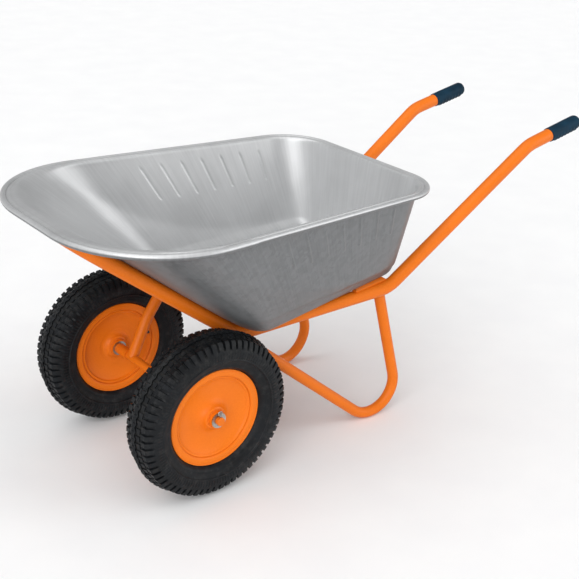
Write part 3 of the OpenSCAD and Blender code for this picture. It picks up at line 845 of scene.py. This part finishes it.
def build_frame_welds():
    for name, side in SIDES.items():
        tube = f"frame_tube_{name}"
        joints = [
            ("leg_rear_weld", LEG_TOP + (LEG_CORNER - LEG_TOP) * 0.3, LEG_TOP, LEG_R, tube),
            ("leg_front_weld", LEG_FRONT + (LEG_CORNER - LEG_FRONT) * 0.3, LEG_FRONT, LEG_R, tube),
            ("strut_top_weld", STRUT_TOP + (STRUT_KNEE - STRUT_TOP) * 0.8, STRUT_TOP, LEG_R, tube),
        ]
        for label, start, end, radius, target in joints:
            path = joint_path(mirrored(start, side), mirrored(end, side), radius, target)
            if path:
                sweep_bead(f"{label}_{name}", path, 1.9 * MM)
            else:
                print("no weld path for", label, name)


# ---- grips ----
def build_grip(side_name):
    """A moulded sleeve: smooth on top, with finger ridges underneath and a domed end."""
    side = SIDES[side_name]
    way = (GRIP_END - WRIST).normalized()
    way = Vector((way.x, side * way.y, way.z))
    end = mirrored(GRIP_END, side) + way * 12 * MM
    long = 112 * MM
    start = end - way * long
    across = Vector((0, 1, 0))
    up = way.cross(across).normalized()
    if up.z < 0:
        up = -up
    across = up.cross(way)
    radius, inner = 18.9 * MM, TUBE_R + 0.05 * MM
    ridge_from, ridge_to, ridges = 8 * MM, 98 * MM, 7
    pitch = (ridge_to - ridge_from) / ridges
    around = 72
    stations = [(0.0, inner), (0.0, radius - 1.5 * MM), (0.5 * MM, radius - 0.5 * MM), (1.5 * MM, radius)]
    stations += [(s, radius) for s in np.arange(3 * MM, long - 12 * MM, 1.15 * MM)]
    dome = [(long - 12 * MM + 12 * MM * math.sin(a), (radius - 3.4 * MM) + 3.4 * MM * math.cos(a) ** 1.0)
            for a in np.radians(np.linspace(0, 60, 6))]
    face = [(long - 0.9 * MM, radius * 0.86), (long - 0.25 * MM, radius * 0.74), (long, radius * 0.55),
            (long - 0.1 * MM, radius * 0.35), (long - 0.8 * MM, radius * 0.28), (long - 0.8 * MM, 0.4 * MM)]
    stations += dome[1:4] + face
    vertices = []
    for s, r in stations:
        phase = ((s - ridge_from) / pitch) % 1.0
        tooth = phase / 0.75 if phase < 0.75 else (1 - phase) / 0.25
        tooth *= 1.0 if ridge_from <= s <= ridge_to and r > inner + 0.5 * MM else 0.0
        for k in range(around):
            a = 2 * math.pi * k / around
            below = max(0.0, -math.sin(a)) ** 0.7
            size = r + 2.6 * MM * tooth * below
            vertices.append(start + way * s + (across * math.cos(a) + up * math.sin(a)) * size)
    rows = len(stations)
    inner_rows = [(long - 13 * MM, inner)]
    for s, r in inner_rows:
        for k in range(around):
            a = 2 * math.pi * k / around
            vertices.append(start + way * s + (across * math.cos(a) + up * math.sin(a)) * r)
    faces = grid_faces(rows, around)
    last = (rows - 1) * around
    faces.append(tuple(range(last, last + around)))
    faces += [(rows * around + k, rows * around + (k + 1) % around, (k + 1) % around, k)
              for k in range(around)]
    faces.append(tuple(rows * around + k for k in range(around - 1, -1, -1)))
    grip = piece(f"hand_grip_{side_name}", vertices, faces, "root", materials["grip"],
                 [f"grip_{side_name}"], sharp=40)
    fix_normals(grip)
    return grip


def fix_normals(obj):
    b = bmesh.new()
    b.from_mesh(obj.data)
    bmesh.ops.recalc_face_normals(b, faces=b.faces)
    b.to_mesh(obj.data)
    b.free()


# ---- small steel parts taken from the CAD nodes with eased edges ----
def eased(node, name, body, material, width, merge=0.02 * MM):
    """A copy of a CAD node whose sharp edges are broken by a small bevel."""
    source = frame["nodes"][node]
    b = bmesh.new()
    b.from_mesh(source.data)
    bmesh.ops.remove_doubles(b, verts=b.verts, dist=merge)
    bmesh.ops.dissolve_limit(b, angle_limit=math.radians(1.0), verts=b.verts, edges=b.edges)
    edges = [e for e in b.edges if len(e.link_faces) == 2 and e.calc_face_angle() > math.radians(35)]
    bmesh.ops.bevel(b, geom=edges, offset=width, segments=2, affect="EDGES", clamp_overlap=True)
    mesh = bpy.data.meshes.new(name)
    b.to_mesh(mesh)
    b.free()
    mesh.shade_smooth()
    mesh.set_sharp_from_angle(angle=math.radians(42))
    mesh.materials.append(material)
    obj = bpy.data.objects.new(name, mesh)
    bpy.context.scene.collection.objects.link(obj)
    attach(obj, body)
    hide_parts(node)
    return obj


def paint_cad_nodes():
    """Gives every CAD node that stays the material of its record slot."""
    by_slot = {
        "galvanised_sheet": "sheet", "galvanised_wire": "wire", "orange_frame_paint": "frame",
        "orange_wheel_paint": "wheel", "grip_rubber": "grip", "tyre_rubber": "tyre",
        "tube_rubber": "tube", "black_plastic": "cap", "zinc_steel": "zinc",
    }
    for subpart in frame["record"]["subparts"]:
        node = frame["nodes"][subpart["node"]]
        node.data.materials.clear()
        node.data.materials.append(materials[by_slot[subpart["material_slot"]]])


make_camera()
make_studio()
make_floor()
paint_cad_nodes()
build_tray()
for side_name in SIDES:
    build_tyre(side_name)
    build_rim(side_name)
    build_discs(side_name)
    build_grip(side_name)
build_frame_welds()
for strap in ("strap_rear", "strap_front"):
    eased(strap, f"{strap}_plate", "root", materials["frame"], 0.8 * MM)
